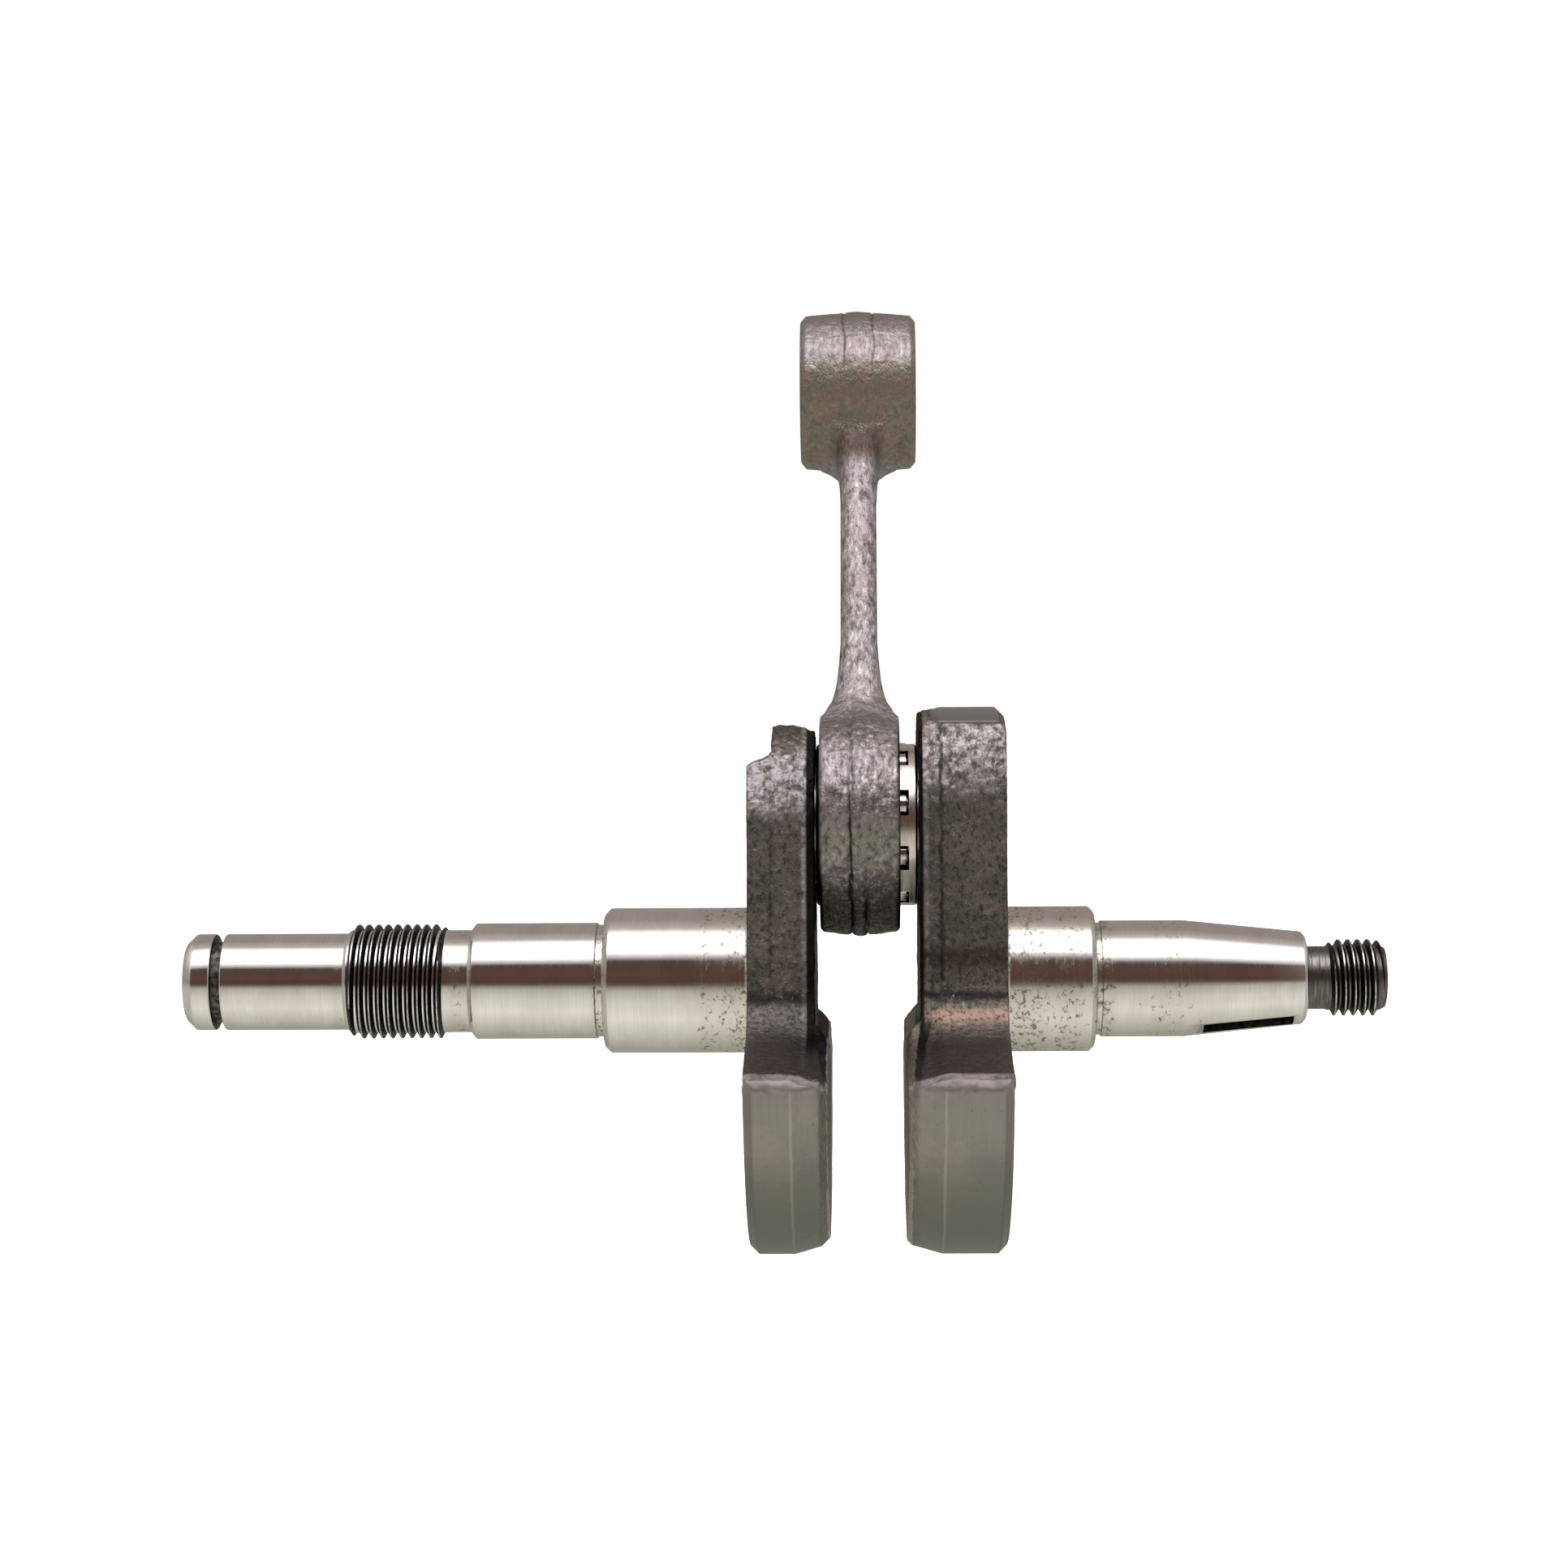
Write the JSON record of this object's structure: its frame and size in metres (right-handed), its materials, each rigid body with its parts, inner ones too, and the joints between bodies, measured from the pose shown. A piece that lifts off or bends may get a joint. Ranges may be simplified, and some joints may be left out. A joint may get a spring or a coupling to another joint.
{
  "type": "crankshaft",
  "caption": "Built-up crankshaft of a small two-stroke engine: counterweighted webs, stepped, threaded and tapered shaft ends, and a needle-bearing connecting rod.",
  "frame": {"origin": "crank centre: on the main axis, midway between the webs", "axes": "+X along the main axis towards the flywheel, +Z towards the crankpin, -Y towards the viewer with the clutch end on the left"},
  "size_m": [0.1237, 0.0627, 0.101],
  "materials": {
    "crank_steel": "forged webs, ground journals",
    "pin_steel": "ground",
    "rod_steel": "as forged",
    "cage_steel": "satin",
    "roller_steel": "polished"
  },
  "bodies": {
    "crankshaft": {"clutch_side_crank_half": "crank_steel", "flywheel_side_crank_half": "crank_steel", "crankpin": "pin_steel"},
    "connecting_rod": {"connecting_rod": "rod_steel"},
    "needle_cage": {"big_end_needle_cage": "cage_steel"},
    "roller_1": {"needle_roller_1": "roller_steel"},
    "roller_2": {"needle_roller_2": "roller_steel"},
    "roller_3": {"needle_roller_3": "roller_steel"},
    "roller_4": {"needle_roller_4": "roller_steel"},
    "roller_5": {"needle_roller_5": "roller_steel"},
    "roller_6": {"needle_roller_6": "roller_steel"},
    "roller_7": {"needle_roller_7": "roller_steel"},
    "roller_8": {"needle_roller_8": "roller_steel"},
    "roller_9": {"needle_roller_9": "roller_steel"}
  },
  "joints": [
    {"name": "rod_swing", "type": "hinge", "parent": "crankshaft", "child": "connecting_rod", "pos_m": [0, 0, 0.016], "axis": [1, 0, 0], "continuous": true},
    {"name": "cage_turn", "type": "hinge", "parent": "crankshaft", "child": "needle_cage", "pos_m": [0, 0, 0.016], "axis": [1, 0, 0], "continuous": true},
    {"name": "roller_1_spin", "type": "hinge", "parent": "needle_cage", "child": "roller_1", "pos_m": [0, -0.00696, 0.01806], "axis": [1, 0, 0], "continuous": true},
    {"name": "roller_2_spin", "type": "hinge", "parent": "needle_cage", "child": "roller_2", "pos_m": [0, -0.00401, 0.02205], "axis": [1, 0, 0], "continuous": true},
    {"name": "roller_3_spin", "type": "hinge", "parent": "needle_cage", "child": "roller_3", "pos_m": [0, 0.00082, 0.02321], "axis": [1, 0, 0], "continuous": true},
    {"name": "roller_4_spin", "type": "hinge", "parent": "needle_cage", "child": "roller_4", "pos_m": [0, 0.00527, 0.021], "axis": [1, 0, 0], "continuous": true},
    {"name": "roller_5_spin", "type": "hinge", "parent": "needle_cage", "child": "roller_5", "pos_m": [0, 0.00725, 0.01644], "axis": [1, 0, 0], "continuous": true},
    {"name": "roller_6_spin", "type": "hinge", "parent": "needle_cage", "child": "roller_6", "pos_m": [0, 0.00584, 0.01168], "axis": [1, 0, 0], "continuous": true},
    {"name": "roller_7_spin", "type": "hinge", "parent": "needle_cage", "child": "roller_7", "pos_m": [0, 0.00169, 0.00894], "axis": [1, 0, 0], "continuous": true},
    {"name": "roller_8_spin", "type": "hinge", "parent": "needle_cage", "child": "roller_8", "pos_m": [0, -0.00324, 0.0095], "axis": [1, 0, 0], "continuous": true},
    {"name": "roller_9_spin", "type": "hinge", "parent": "needle_cage", "child": "roller_9", "pos_m": [0, -0.00666, 0.01311], "axis": [1, 0, 0], "continuous": true}
  ],
  "couplings": [
    {"joint": "cage_turn", "follows": "rod_swing", "ratio": 0.5868},
    {"joint": "roller_1_spin", "follows": "rod_swing", "ratio": 2.8394},
    {"joint": "roller_2_spin", "follows": "rod_swing", "ratio": 2.8394},
    {"joint": "roller_3_spin", "follows": "rod_swing", "ratio": 2.8394},
    {"joint": "roller_4_spin", "follows": "rod_swing", "ratio": 2.8394},
    {"joint": "roller_5_spin", "follows": "rod_swing", "ratio": 2.8394},
    {"joint": "roller_6_spin", "follows": "rod_swing", "ratio": 2.8394},
    {"joint": "roller_7_spin", "follows": "rod_swing", "ratio": 2.8394},
    {"joint": "roller_8_spin", "follows": "rod_swing", "ratio": 2.8394},
    {"joint": "roller_9_spin", "follows": "rod_swing", "ratio": 2.8394}
  ]
}
